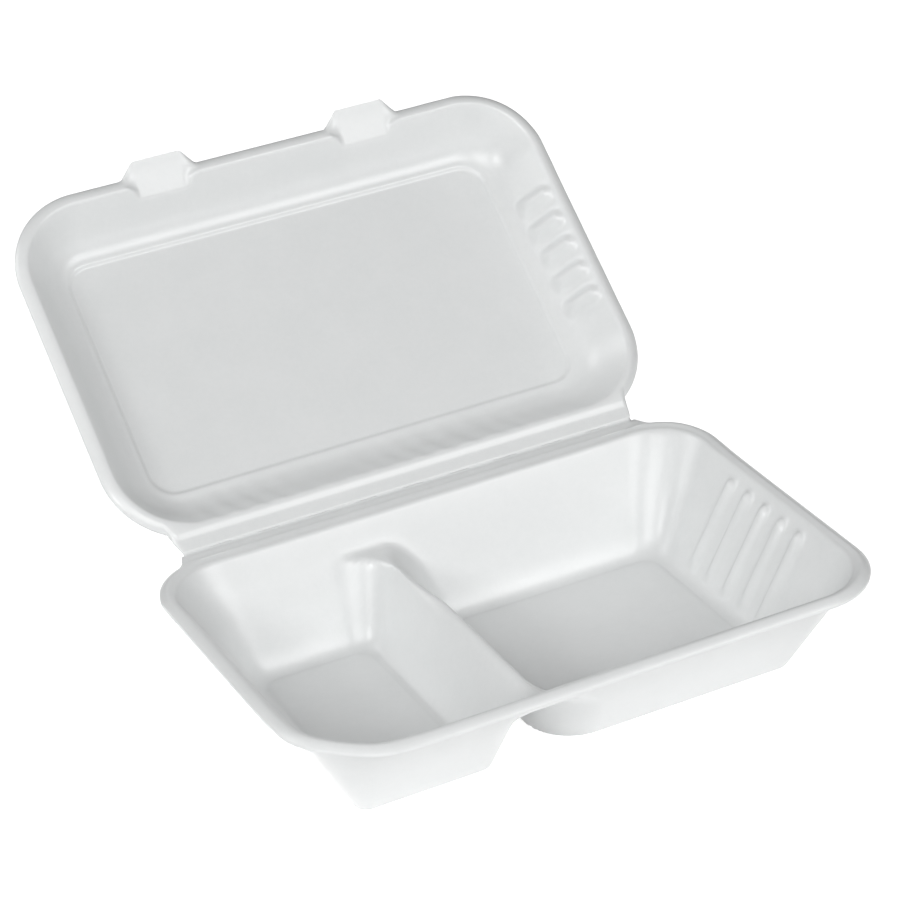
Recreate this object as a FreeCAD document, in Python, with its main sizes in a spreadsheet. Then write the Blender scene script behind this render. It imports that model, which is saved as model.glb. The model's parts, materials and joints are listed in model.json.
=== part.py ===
import FreeCAD, Part
import math
import os
import Sketcher

# Hinged two-compartment food container, moulded as one thin sheet.
# X runs along the fold line, +Y points to the fold line, +Z points up.
# The origin is the centre of the footprint, on the surface that the tray stands on.

SIZES = {
    # the sheet
    "wall": (1.0, "thickness of the moulded sheet"),
    # the tray
    "tray_length": (250.0, "over the rim, along the fold line"),
    "tray_width": (166.5, "over the rim, across the fold line"),
    "tray_height": (45.5, "from the table to the top of the rim"),
    "tray_radius": (32.0, "corners of the rim, in plan"),
    "rim_width": (5.5, "from the outer edge of a rim to the top of its wall"),
    "lip_run": (3.6, "width of the sloping outer part of a rim"),
    "lip_drop": (2.2, "how far that part slopes away from the other half"),
    "foot_radius": (11.5, "corners of the compartments at the floor, in plan"),
    "floor_half": (52.0, "from the middle to the foot of the front and back walls"),
    "small_end": (95.5, "from the middle to the foot of the left end wall"),
    "small_divide": (40.0, "from the middle to the divider's foot in the small compartment"),
    "large_divide": (14.5, "from the middle to the divider's foot in the large compartment"),
    "large_end": (92.5, "from the middle to the foot of the right end wall"),
    "divider_height": (33.0, "from the table to the top of the divider"),
    "divider_small_edge": (28.0, "from the middle to the divider's top edge, small side"),
    "divider_large_edge": (21.5, "from the middle to the divider's top edge, large side"),
    "divider_round": (2.2, "along the divider's top edges"),
    "floor_round": (6.0, "between the walls and the floors, inside"),
    "foot_round": (3.0, "between the walls and the floors, outside"),
    "panel_inset": (4.6, "from the foot of a wall to the raised floor panel"),
    "panel_step": (0.3, "height of the raised floor panel"),
    # the ribs on both right end walls
    "rib_count": (5, "ribs on each right end wall"),
    "rib_pitch": (12.8, "from rib to rib"),
    "rib_width": (7.0, "across a rib"),
    "rib_height": (2.0, "how far a rib stands out of the wall"),
    # the fold
    "strip_gap": (4.75, "from the outer edge of a rim to the fold line"),
    "strip_length": (209.0, "of the hinge strip along the fold line"),
    "strip_flare": (3.0, "flare of the strip's ends where they meet the rims"),
    "strip_drop": (0.8, "from the top of a rim to the hinge strip"),
    "fold_gap": (0.15, "from each half to the fold line and to the closing plane"),
    "slit_length": (9.8, "of one perforation"),
    "slit_pitch": (21.6, "from perforation to perforation"),
    "slit_depth": (0.45, "of one perforation into each half of the strip"),
    "slit_count": (9, "perforations"),
    "open_angle": (141.0, "of the lid at rest, from closed"),
    # the lid
    "lid_inset": (2.0, "how much smaller the lid is than the tray, on each side"),
    "lid_radius": (36.0, "corners of the rim, in plan"),
    "lid_depth": (19.0, "from the rim to the flat band round the panel, inside"),
    "lid_slope_run": (13.5, "width of the lid's sloping wall in plan"),
    "lid_round": (6.0, "between the lid's wall and its flat band, inside"),
    "band_end": (6.0, "flat band between the lid's wall and the top panel, at both ends"),
    "band_near": (8.25, "the same band at the fold line"),
    "band_far": (6.85, "the same band at the lid's front"),
    "top_radius": (11.0, "corners of the top panel, in plan"),
    "top_step": (1.2, "height of the step round the top panel"),
    # the closing tabs
    "tab_place": (47.5, "from the middle to each tab"),
    "tab_root": (34.0, "width of a tab where it leaves the rim"),
    "tab_tip": (22.0, "width of a tab at its tip"),
    "tab_bend": (0.35, "from the bend of the tray's rim to the bend of a tab, closed"),
    "tab_reach": (4.6, "from the bend of a tab to its tip, in plan"),
}

doc = FreeCAD.newDocument("clamshell_container")


def make_sheet():
    sheet = doc.addObject("Spreadsheet::Sheet", "Sizes")
    for row, (alias, (value, meaning)) in enumerate(SIZES.items(), start=1):
        sheet.set(f"A{row}", str(value))
        sheet.setAlias(f"A{row}", alias)
        sheet.set(f"B{row}", meaning)
    doc.recompute()


def size(formula):
    """The formula with each size's name spelled the way an expression needs it."""
    words = []
    word = ""
    for letter in formula + " ":
        if letter.isalnum() or letter == "_":
            word += letter
            continue
        words.append(f"Sizes.{word}" if word in SIZES else word)
        words.append(letter)
        word = ""
    return "".join(words).strip()


def number(body, formula):
    return float(body.evalExpression(size(formula)))


# Formulas that several features share. Slopes are plan run over height.
SIDE_SLOPE = "((tray_width / 2 - rim_width - floor_half) / (tray_height - wall))"
SMALL_END_SLOPE = "((tray_length / 2 - rim_width - small_end) / (tray_height - wall))"
LARGE_END_SLOPE = "((tray_length / 2 - rim_width - large_end) / (tray_height - wall))"
SMALL_DIVIDE_SLOPE = "((small_divide - divider_small_edge) / (divider_height - wall))"
LARGE_DIVIDE_SLOPE = "((divider_large_edge - large_divide) / (divider_height - wall))"
CORNER_SLOPE = "((tray_radius - rim_width - foot_radius) / (tray_height - wall))"
SKIN = f"(wall * sqrt(1 + {SIDE_SLOPE} ^ 2))"
LIP_SKIN = "(wall * sqrt(1 + (lip_run / lip_drop) ^ 2))"
LID_LENGTH = "(tray_length - 2 * lid_inset)"
LID_NEAR = "(-strip_gap)"
LID_FAR = "(-strip_gap - tray_width + 2 * lid_inset)"
LID_SLOPE = "(lid_slope_run / lid_depth)"
LID_SKIN = f"(wall * sqrt(1 + {LID_SLOPE} ^ 2))"
LIP_SLOPE = "(lip_run / lip_drop)"
FOLD_PLACE = "(tray_width / 2 + strip_gap)"
FOLD_HEIGHT = "(tray_height + fold_gap)"


def origin_plane(body, role):
    return next(plane for plane in body.Origin.OriginFeatures if plane.Role == role)


def new_sketch(body, name, role, offset):
    """A sketch on one of the body's own origin planes, moved along the plane's normal."""
    sketch = body.newObject("Sketcher::SketchObject", name)
    sketch.AttachmentSupport = [(origin_plane(body, role), "")]
    sketch.MapMode = "FlatFace"
    sketch.setExpression("AttachmentOffset.Base.z", size(offset))
    return sketch


def hold(sketch, name, constraint, formula):
    """Add a named dimension to a sketch and bind it to a formula."""
    index = sketch.addConstraint(constraint)
    sketch.renameConstraint(index, name)
    sketch.setExpression(f"Constraints.{name}", size(formula))


def rounded_rectangle(body, name, level, left, right, front, back, radius):
    """A level outline with four equal round corners; all arguments after name are formulas."""
    sketch = new_sketch(body, name, "XY_Plane", level)
    x0, x1, y0, y1, r = (number(body, item) for item in (left, right, front, back, radius))
    v = FreeCAD.Vector
    starts = (v(x0 + r, y0), v(x1, y0 + r), v(x1 - r, y1), v(x0, y1 - r))
    ends = (v(x1 - r, y0), v(x1, y1 - r), v(x0 + r, y1), v(x0, y0 + r))
    centres = (v(x1 - r, y0 + r), v(x1 - r, y1 - r), v(x0 + r, y1 - r), v(x0 + r, y0 + r))
    for side in range(4):
        sketch.addGeometry(Part.LineSegment(starts[side], ends[side]))
        first = math.radians(90 * side - 90)
        circle = Part.Circle(centres[side], v(0, 0, 1), r)
        sketch.addGeometry(Part.ArcOfCircle(circle, first, first + math.pi / 2))
    for side in range(4):
        line, arc, following = 2 * side, 2 * side + 1, (2 * side + 2) % 8
        sketch.addConstraint(Sketcher.Constraint("Tangent", line, 2, arc, 1))
        sketch.addConstraint(Sketcher.Constraint("Tangent", arc, 2, following, 1))
        direction = "Horizontal" if side % 2 == 0 else "Vertical"
        sketch.addConstraint(Sketcher.Constraint(direction, line))
    for arc in (3, 5, 7):
        sketch.addConstraint(Sketcher.Constraint("Equal", 1, arc))
    hold(sketch, "radius", Sketcher.Constraint("Radius", 1, r), radius)
    hold(sketch, "front", Sketcher.Constraint("DistanceY", -1, 1, 0, 1, y0), front)
    hold(sketch, "right", Sketcher.Constraint("DistanceX", -1, 1, 2, 1, x1), right)
    hold(sketch, "back", Sketcher.Constraint("DistanceY", -1, 1, 4, 1, y1), back)
    hold(sketch, "left", Sketcher.Constraint("DistanceX", -1, 1, 6, 1, x0), left)
    return sketch


def polygon(body, name, role, offset, corners):
    """A straight-sided outline; each corner is a pair of formulas."""
    sketch = new_sketch(body, name, role, offset)
    points = [FreeCAD.Vector(number(body, x), number(body, y)) for x, y in corners]
    count = len(points)
    for index in range(count):
        sketch.addGeometry(Part.LineSegment(points[index], points[(index + 1) % count]))
    for index in range(count):
        following = (index + 1) % count
        sketch.addConstraint(Sketcher.Constraint("Coincident", index, 2, following, 1))
    for index, (x, y) in enumerate(corners):
        across = Sketcher.Constraint("DistanceX", -1, 1, index, 1, points[index].x)
        upward = Sketcher.Constraint("DistanceY", -1, 1, index, 1, points[index].y)
        hold(sketch, f"across_{index}", across, x)
        hold(sketch, f"upward_{index}", upward, y)
    return sketch


def loft(body, name, kind, sketches):
    feature = body.newObject(f"PartDesign::{kind}", name)
    feature.Profile = sketches[0]
    feature.Sections = sketches[1:]
    feature.Ruled = True
    feature.Closed = False
    doc.recompute()
    return feature


def extrude(body, name, kind, sketch, length, backwards=False):
    feature = body.newObject(f"PartDesign::{kind}", name)
    feature.Profile = sketch
    feature.setExpression("Length", size(length))
    feature.Reversed = backwards
    doc.recompute()
    return feature


def row_of(body, name, features, spacing, count):
    """Repeat features along +Y, evenly spaced."""
    pattern = body.newObject("PartDesign::LinearPattern", name)
    pattern.Originals = features
    pattern.Direction = (origin_plane(body, "Y_Axis"), [""])
    pattern.Mode = "Spacing"
    pattern.setExpression("Offset", size(spacing))
    pattern.setExpression("Occurrences", size(count))
    body.Tip = pattern
    doc.recompute()
    return pattern


def fillet_level(body, name, level, radius, keep):
    """Round the tip's edges that lie level at a height and whose middle passes a test."""
    tip = body.Tip
    height = number(body, level)
    names = []
    for index, edge in enumerate(tip.Shape.Edges, start=1):
        box = edge.BoundBox
        middle = edge.CenterOfMass
        if abs(box.ZMin - height) < 0.01 and abs(box.ZMax - height) < 0.01 and keep(middle):
            names.append(f"Edge{index}")
    feature = body.newObject("PartDesign::Fillet", name)
    feature.Base = (tip, names)
    feature.setExpression("Radius", size(radius))
    doc.recompute()
    return feature


def compartment_outlines(body, name, left, right, skin):
    """The outlines of one compartment at its floor and at the rim.

    left and right are pairs: the wall's foot and its slope, each counted along +X.
    skin is how far the outline lies outside the inner face, as a formula."""
    bottom = "wall" if skin == "0" else "0"
    outlines = []
    for place, level in (("floor", bottom), ("top", "tray_height")):
        rise = f"(({level}) - wall)"
        side = f"(floor_half + {rise} * {SIDE_SLOPE} + {skin})"
        outlines.append(rounded_rectangle(
            body, f"{name}_{place}", level,
            f"{left[0]} + {rise} * {left[1]} - {skin}",
            f"{right[0]} + {rise} * {right[1]} + {skin}",
            f"-{side}", side,
            f"foot_radius + {rise} * {CORNER_SLOPE} + {skin}"))
    return outlines


SMALL_SIDES = (("-small_end", f"-{SMALL_END_SLOPE}"), ("-small_divide", SMALL_DIVIDE_SLOPE))
LARGE_SIDES = (("-large_divide", f"-{LARGE_DIVIDE_SLOPE}"), ("large_end", LARGE_END_SLOPE))


def bridge_outlines(body, name, bottom, skin):
    """Rectangles over the divider, between the flat parts of the front and back walls."""
    outlines = []
    for place, level in (("low", bottom), ("high", "tray_height")):
        side = f"(floor_half + (({level}) - wall) * {SIDE_SLOPE} + {skin})"
        left = f"-divider_small_edge - tray_radius - {skin}"
        right = f"-divider_large_edge + tray_radius + {skin}"
        corners = ((left, f"-{side}"), (right, f"-{side}"), (right, side), (left, side))
        outlines.append(polygon(body, f"{name}_{place}", "XY_Plane", level, corners))
    return outlines


def add_rim(body, name, length, front, back, radius, top, away):
    """A rim whose outer part slopes away from the closing plane.

    top is the height of the closing face; away is 1 where the lip goes up and -1 where it
    goes down."""
    def outline(part, shrink, distance):
        return rounded_rectangle(
            body, f"{name}_{part}", f"{top} + ({away}) * {distance}",
            f"-{length} / 2 + {shrink}", f"{length} / 2 - {shrink}",
            f"{front} + {shrink}", f"{back} - {shrink}", f"{radius} - {shrink}")
    loft(body, name, "AdditiveLoft",
         [outline("crest", "lip_run", "0"), outline("edge", "0", "lip_drop")])
    loft(body, f"{name}_underside", "SubtractiveLoft",
         [outline("hollow_top", f"(lip_run + {LIP_SKIN} - wall * {LIP_SLOPE})", "wall"),
          outline("hollow_edge", f"{LIP_SKIN}", "lip_drop")])


def add_strip(body, name, rim, far, bottom):
    """Half of the hinge strip, from inside the rim's edge out to the fold line.

    rim holds the formulas of the rim's length, of its back edge's Y and of its corners'
    radius; far is the Y of the fold line's side. The strip's ends run into the rim's
    corners with a small flare."""
    length, edge, radius = rim
    half = "strip_length / 2"
    start = f"({length} / 2 - {radius})"
    end = f"({half} + strip_flare)"
    fall = f"({radius} - sqrt({radius} ^ 2 - ({end} - {start}) ^ 2))"
    near = f"({edge} - lip_run / 2)"
    outline = ((start, near), (end, f"{near} - {fall}"), (end, f"{edge} - {fall}"),
               (f"{half} + strip_flare * 0.3", f"{edge} - {fall} + strip_flare * 0.3"),
               (half, f"{edge} - {fall} + strip_flare"), (half, far))
    mirrored = [(f"-({x})", y) for x, y in reversed(outline)]
    strip = polygon(body, f"{name}_outline", "XY_Plane", bottom, list(outline) + mirrored)
    extrude(body, name, "Pad", strip, "wall")


def add_slits(body, name, far, bottom):
    """Perforations along the fold line, half of each in either half of the strip."""
    slits = new_sketch(body, f"{name}_outline", "XY_Plane", bottom)
    y_far = number(body, far)
    depth = number(body, "slit_depth")
    length = number(body, "slit_length")
    pitch = number(body, "slit_pitch")
    for index in range(int(SIZES["slit_count"][0])):
        step = f"({index} - (slit_count - 1) / 2)"
        middle = (index - (number(body, "slit_count") - 1) / 2) * pitch
        v = FreeCAD.Vector
        corners = (v(middle - length / 2, y_far - depth), v(middle + length / 2, y_far - depth),
                   v(middle + length / 2, y_far + depth), v(middle - length / 2, y_far + depth))
        first = 4 * index
        for side in range(4):
            slits.addGeometry(Part.LineSegment(corners[side], corners[(side + 1) % 4]))
        for side in range(4):
            following = first + (side + 1) % 4
            slits.addConstraint(Sketcher.Constraint("Coincident", first + side, 2, following, 1))
            direction = "Horizontal" if side % 2 == 0 else "Vertical"
            slits.addConstraint(Sketcher.Constraint(direction, first + side))
        left = Sketcher.Constraint("DistanceX", -1, 1, first, 1, corners[0].x)
        right = Sketcher.Constraint("DistanceX", -1, 1, first, 2, corners[1].x)
        inner = Sketcher.Constraint("DistanceY", -1, 1, first, 1, corners[0].y)
        outer = Sketcher.Constraint("DistanceY", -1, 1, first + 2, 1, corners[2].y)
        hold(slits, f"left_{index}", left, f"{step} * slit_pitch - slit_length / 2")
        hold(slits, f"right_{index}", right, f"{step} * slit_pitch + slit_length / 2")
        hold(slits, f"inner_{index}", inner, f"{far} - slit_depth")
        hold(slits, f"outer_{index}", outer, f"{far} + slit_depth")
    extrude(body, name, "Pocket", slits, "wall", backwards=True)


def rib_outline(body, name, level, face, middle, width, height):
    """A flat-backed bulge at one level: its back lies inside the wall, at X = face."""
    profile = ((-0.5, 0), (-0.32, 0.6), (-0.12, 1), (0.12, 1), (0.32, 0.6), (0.5, 0))
    corners = [(f"{face} - {height} * {rise}", f"{middle} + {width} * ({across})")
               for across, rise in profile]
    return polygon(body, name, "XY_Plane", level, corners)


def add_ribs(body, name, foot, slope, levels, middle):
    """Ribs down an end wall: raised inside, and the same form sunk outside.

    foot is the inner face's X at height 0 of the slope, levels are the heights of the
    ribs' ends and of their full section."""
    sections = []
    hollows = []
    start = f"({middle}) - rib_pitch * (rib_count - 1) / 2"
    for index, (level, share) in enumerate(levels):
        face = f"{foot} + ({level}) * ({slope})"
        height = f"(rib_height * {share})"
        sections.append(rib_outline(body, f"{name}_{index}", level, f"{face} + wall / 3",
                                    start, "rib_width", f"({height} + wall / 3)"))
        hollows.append(rib_outline(body, f"{name}_hollow_{index}", level, f"{face} + wall * 2",
                                   start, "(rib_width * 0.8)", f"({height} * 0.9 + wall * 0.8)"))
    ribs = loft(body, name, "AdditiveLoft", sections)
    grooves = loft(body, f"{name}_hollow", "SubtractiveLoft", hollows)
    return row_of(body, f"{name}_row", [ribs, grooves], "rib_pitch", "rib_count")


def make_tray():
    body = doc.addObject("PartDesign::Body", "tray")
    body.Label = "tray"
    half_width = "tray_width / 2"
    add_rim(body, "rim", "tray_length", f"-{half_width}", half_width, "tray_radius",
            "tray_height", -1)
    loft(body, "small_shell", "AdditiveLoft",
         compartment_outlines(body, "small_shell", *SMALL_SIDES, SKIN))
    loft(body, "large_shell", "AdditiveLoft",
         compartment_outlines(body, "large_shell", *LARGE_SIDES, SKIN))
    loft(body, "bridge_shell", "AdditiveLoft",
         bridge_outlines(body, "bridge_shell", "divider_height - wall", SKIN))
    fillet_level(body, "foot_edges", "0", "foot_round", lambda middle: True)
    fold_edge = f"{FOLD_PLACE} - fold_gap"
    strip_bottom = "tray_height - strip_drop - wall"
    add_strip(body, "strip", ("tray_length", half_width, "tray_radius"), fold_edge, strip_bottom)
    loft(body, "small_hollow", "SubtractiveLoft",
         compartment_outlines(body, "small_hollow", *SMALL_SIDES, "0"))
    loft(body, "large_hollow", "SubtractiveLoft",
         compartment_outlines(body, "large_hollow", *LARGE_SIDES, "0"))
    loft(body, "bridge_hollow", "SubtractiveLoft",
         bridge_outlines(body, "bridge_hollow", "divider_height", "0"))
    fillet_level(body, "floor_edges", "wall", "floor_round", lambda middle: True)
    fillet_level(body, "divider_edges", "divider_height", "divider_round",
                 lambda middle: abs(middle.y) < SIZES["floor_half"][0] / 2)
    add_slits(body, "slits", fold_edge, strip_bottom)
    panels = (("small_panel", "-small_end", "-small_divide"),
              ("large_panel", "-large_divide", "large_end"))
    for name, left, right in panels:
        outline = rounded_rectangle(
            body, f"{name}_outline", "wall", f"{left} + panel_inset", f"{right} - panel_inset",
            "-floor_half + panel_inset", "floor_half - panel_inset", "foot_radius - panel_inset")
        extrude(body, name, "Pad", outline, "panel_step")
    rib_levels = (("floor_round / 2", 0.4), ("floor_round", 1.0),
                  ("tray_height - 8", 0.9), ("tray_height - 4", 0.3))
    add_ribs(body, "rib", f"(large_end - wall * {LARGE_END_SLOPE})", LARGE_END_SLOPE,
             rib_levels, "0")
    return body


def make_lid():
    """The lid, drawn closed with the fold line as its X axis and turned open at the end."""
    body = doc.addObject("PartDesign::Body", "lid")
    body.Label = "lid"
    add_rim(body, "lid_rim", LID_LENGTH, LID_FAR, LID_NEAR, "lid_radius", "fold_gap", 1)

    def ring(name, level, shrink):
        return rounded_rectangle(
            body, name, level, f"-{LID_LENGTH} / 2 + {shrink}", f"{LID_LENGTH} / 2 - {shrink}",
            f"{LID_FAR} + {shrink}", f"{LID_NEAR} - {shrink}", f"lid_radius - {shrink}")

    def top(name, level, grow):
        wall_run = "rim_width + lid_slope_run"
        half = f"({LID_LENGTH} / 2 - ({wall_run}) - band_end + {grow})"
        return rounded_rectangle(
            body, name, level, f"-{half}", half, f"{LID_FAR} + {wall_run} + band_far - {grow}",
            f"{LID_NEAR} - ({wall_run}) - band_near + {grow}", f"top_radius + {grow}")

    top_inside = "(fold_gap + lid_depth)"
    top_outside = f"({top_inside} + wall)"
    loft(body, "lid_shell", "AdditiveLoft",
         [ring("lid_shell_rim", "fold_gap", f"(rim_width - {LID_SKIN})"),
          ring("lid_shell_top", top_outside,
               f"(rim_width + (lid_depth + wall) * {LID_SLOPE} - {LID_SKIN})")])
    fillet_level(body, "lid_top_edges", top_outside, "lid_round", lambda middle: True)
    extrude(body, "top_panel", "Pad", top("top_panel_outline", top_outside, "wall"), "top_step")
    add_strip(body, "lid_strip", (LID_LENGTH, LID_NEAR, "lid_radius"), "-fold_gap",
              "fold_gap + strip_drop")
    add_tabs(body)
    loft(body, "lid_hollow", "SubtractiveLoft",
         [ring("lid_hollow_rim", "fold_gap", "rim_width"),
          ring("lid_hollow_top", top_inside, "(rim_width + lid_slope_run)")])
    fillet_level(body, "lid_inner_edges", top_inside, "lid_round", lambda middle: True)
    extrude(body, "panel_hollow", "Pocket", top("panel_hollow_outline", top_inside, "0"),
            "top_step", backwards=True)
    add_slits(body, "lid_slits", "-fold_gap", "fold_gap + strip_drop")
    rib_levels = (("fold_gap + 1.5", 0.25), ("fold_gap + 4", 1.0),
                  (f"{top_inside} - lid_round * 0.6", 1.0), (f"{top_inside} - lid_round * 0.2", 0.4))
    add_ribs(body, "lid_rib", f"({LID_LENGTH} / 2 - rim_width + fold_gap * {LID_SLOPE})",
             f"-{LID_SLOPE}", rib_levels, f"({LID_NEAR} + {LID_FAR}) / 2")
    body.setExpression("Placement.Base.y", size(FOLD_PLACE))
    body.setExpression("Placement.Base.z", size(FOLD_HEIGHT))
    body.Placement.Rotation = FreeCAD.Rotation(FreeCAD.Vector(1, 0, 0), -1)
    body.setExpression("Placement.Rotation.Angle", size("-open_angle"))
    return body


def add_tabs(body):
    """Two tabs that leave the lid's rim flat and bend down along the tray's sloping lip."""
    bend = f"(-{FOLD_PLACE} - tray_width / 2 + lip_run - tab_bend)"
    tip = f"({bend} - tab_reach)"
    stations = ((f"({LID_FAR} + rim_width)", "tab_root", "fold_gap"), (bend, "tab_root", "fold_gap"),
                (tip, "tab_tip", f"(fold_gap - tab_reach / {LIP_SLOPE})"))
    for name, middle in (("left_tab", "-tab_place"), ("right_tab", "tab_place")):
        sections = []
        for index, (place, width, low) in enumerate(stations):
            left = f"{middle} - {width} / 2"
            right = f"{middle} + {width} / 2"
            high = f"{low} + wall"
            corners = ((left, low), (right, low), (right, high), (left, high))
            sections.append(polygon(body, f"{name}_{index}", "XZ_Plane", f"-{place}", corners))
        loft(body, name, "AdditiveLoft", sections)


def check_and_write(bodies):
    doc.recompute()
    for item in doc.Objects:
        if "Invalid" in item.State or "Error" in item.State:
            raise RuntimeError(f"{item.Name} failed: {item.State}")
    os.makedirs("parts", exist_ok=True)
    for body in bodies:
        shape = body.Shape
        if shape.isNull() or not shape.isValid() or len(shape.Solids) != 1:
            raise RuntimeError(f"{body.Label} isn't one valid solid")
        print(body.Label, "volume", round(shape.Volume), "mm3")
        shape.exportStep(f"parts/{body.Label}.step")


make_sheet()
check_and_write([make_tray(), make_lid()])
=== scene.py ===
"""Dressed model of a hinged two-compartment food container, moulded as one thin pulp sheet.

Each half is one sheet: a grid in plan, edged with rings that follow the rim, and raised to the
height of the moulding. A narrow folded ribbon joins the two halves along the fold line.
"""
import json
import math

import bmesh
import bpy
import numpy as np
from bpy.props import FloatProperty, FloatVectorProperty, IntProperty, PointerProperty
from mathutils import Matrix, Vector


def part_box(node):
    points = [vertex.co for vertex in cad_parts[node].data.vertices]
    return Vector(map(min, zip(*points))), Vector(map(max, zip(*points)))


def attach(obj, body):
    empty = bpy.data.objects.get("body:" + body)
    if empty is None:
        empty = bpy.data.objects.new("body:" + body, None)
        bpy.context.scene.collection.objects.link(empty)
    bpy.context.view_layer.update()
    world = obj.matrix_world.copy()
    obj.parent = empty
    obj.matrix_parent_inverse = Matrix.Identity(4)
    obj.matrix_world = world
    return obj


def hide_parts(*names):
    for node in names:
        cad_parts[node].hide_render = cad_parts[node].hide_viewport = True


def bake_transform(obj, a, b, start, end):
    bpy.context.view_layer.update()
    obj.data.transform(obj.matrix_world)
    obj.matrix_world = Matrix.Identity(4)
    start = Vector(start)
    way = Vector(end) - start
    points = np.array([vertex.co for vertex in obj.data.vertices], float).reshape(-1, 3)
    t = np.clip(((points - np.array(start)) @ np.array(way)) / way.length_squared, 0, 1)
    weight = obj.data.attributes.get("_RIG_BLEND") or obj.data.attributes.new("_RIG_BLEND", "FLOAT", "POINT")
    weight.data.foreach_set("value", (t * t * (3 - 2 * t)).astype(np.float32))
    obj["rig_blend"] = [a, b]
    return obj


bl_info = {
    "name": "Moulded clamshell container",
    "version": (1, 0, 0),
    "blender": (4, 5, 0),
    "location": "3D Viewport > Sidebar > Clamshell",
    "description": "Builds the tray, the lid and the fold of a moulded food container",
    "category": "Object",
}

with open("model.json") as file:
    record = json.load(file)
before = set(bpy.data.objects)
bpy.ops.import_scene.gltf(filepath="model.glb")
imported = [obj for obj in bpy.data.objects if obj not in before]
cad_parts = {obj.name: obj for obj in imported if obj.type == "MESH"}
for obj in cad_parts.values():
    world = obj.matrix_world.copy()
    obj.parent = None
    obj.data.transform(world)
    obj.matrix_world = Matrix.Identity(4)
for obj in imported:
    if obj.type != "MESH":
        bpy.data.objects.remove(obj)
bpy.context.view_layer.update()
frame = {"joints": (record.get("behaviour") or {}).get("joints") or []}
TRAY_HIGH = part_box("tray")[1]
FOLD = next(joint for joint in frame["joints"] if joint["name"] == "lid_fold")
FOLD_LINE = Vector(FOLD["pos_m"])
REST_ANGLE = FOLD["range_deg"][1]

MM = 0.001

# A slanted sheet is this much thicker when it is measured across in plan, or straight down.
WALL_SECANT = 1.16
LIP_SECANT = 1.08

# Places in millimetres round which the mesh lines stand closer together.
TRAY_LINES_X = (-91, -44.5, -34, -25, -10, 88, 104)
TRAY_LINES_Y = (-47.5, -19.2, 0.0, 19.2, 47.5)
LID_LINES_X = (-98, 98, 106)
LID_LINES_Y = (-54, 55.4)
LINE_CROWD = 1.6
LINE_SPREAD = 4.5 * MM

# How far each rim corner is pulled outward: front left, front right, back right, back left.
TRAY_PULLS = (-3.8 * MM, 0.0, 2.4 * MM, 1.4 * MM)
LID_PULLS = (0.0, 0.0, 1.2 * MM, 0.0)

# From a half's edge to its grid, and to each ring round the grid in millimetres.
GRID_INSET = 9.0 * MM
RINGS = (8.2, 7.4, 6.7, 6.1, 5.6, 5.1, 4.6, 4.1, 3.6, 3.1, 2.6, 2.1, 1.6, 1.1, 0.6, 0.2, 0.0)

# The search for a compartment wall's height halves this range again and again.
HALVINGS = 36
LOW_SEARCH = -24 * MM
HIGH_SEARCH = 80 * MM

# Heights between which the ribs stand, on the tray's end wall and on the lid's.
TRAY_RIB_FOOT = (1.5 * MM, 6 * MM)
TRAY_RIB_HEAD = (35 * MM, 41.5 * MM)
LID_RIB_FOOT = (0.0, 7 * MM)
LID_RIB_HEAD = (15.5 * MM, 19.5 * MM)
LID_RIB_SHARE = 1.4

# Spans over which a form of the tray comes in: along x, along y or up the end wall.
BACK_LEDGE_SPAN = (45 * MM, 74 * MM)
END_LEDGE_SPAN = (90 * MM, 117 * MM)
END_WALL_SPAN = (80 * MM, 92 * MM)
COLLAR_RISE = (36.5 * MM, 41 * MM)
COLLAR_ENDS = (34 * MM, 46 * MM)
CRISP_SPAN = (12 * MM, 42 * MM)

# The saddle where the divider meets the back wall: its middle, its span and its softness.
SADDLE_MIDDLE = -25 * MM
SADDLE_SPAN = (12 * MM, 24 * MM)
WALL_SOFTNESS = 0.6 * MM
SADDLE_SOFTNESS = 2.4 * MM

# Half the width of the steps round the floor panels and round the lid's panel.
FLOOR_STEP = 0.4 * MM
PANEL_STEP = 0.9 * MM

# The shallow waves along the lid's near wall: height, radians per metre and where they fade out.
RIPPLE_HEIGHT = 0.5 * MM
RIPPLE_TURNS = (590, 97, 61)
RIPPLE_REACH = (30 * MM, 45 * MM)
RIPPLE_ENDS = (80 * MM, 105 * MM)

LID_RIB_SPAN = (60 * MM, 80 * MM)
PULL_DEPTH = (4 * MM, 29 * MM)
TAB_FALL_SHARE = 0.92
TAB_SOFTNESS = 0.35 * MM

# The folded ribbon between the halves.
RIBBON_OVERLAP = 0.7 * MM
RIBBON_ROWS = 13
RIBBON_CELL = 1.2 * MM
RIBBON_THICKNESS = 0.75

LAMPS = (
    ("front", (-0.735, -1.392, 1.226), 1.0, 14.0),
    ("right", (0.819, -1.369, 1.197), 1.0, 14.8),
    ("back", (-1.419, 0.869, 1.197), 1.0, 9.7),
    ("left", (-1.613, -0.668, 0.989), 0.4, 8.0),
)
LAMP_AIM = (0.0, 0.05, 0.05)
FLOOR_SIZE = 6.0
FLOOR_GLOW = 0.82
SKY_LIGHT = 0.1
CAMERA_PLACE = (-0.4878, -0.9775, 0.7009)
CAMERA_TURN = (61.2533, 3.4550, -27.2686)
CAMERA_LENS = 130.56


def length(label, meaning, millimetres):
    return FloatProperty(
        name=label, description=meaning, default=millimetres * MM, min=0.0, precision=5,
        unit="LENGTH")


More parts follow.
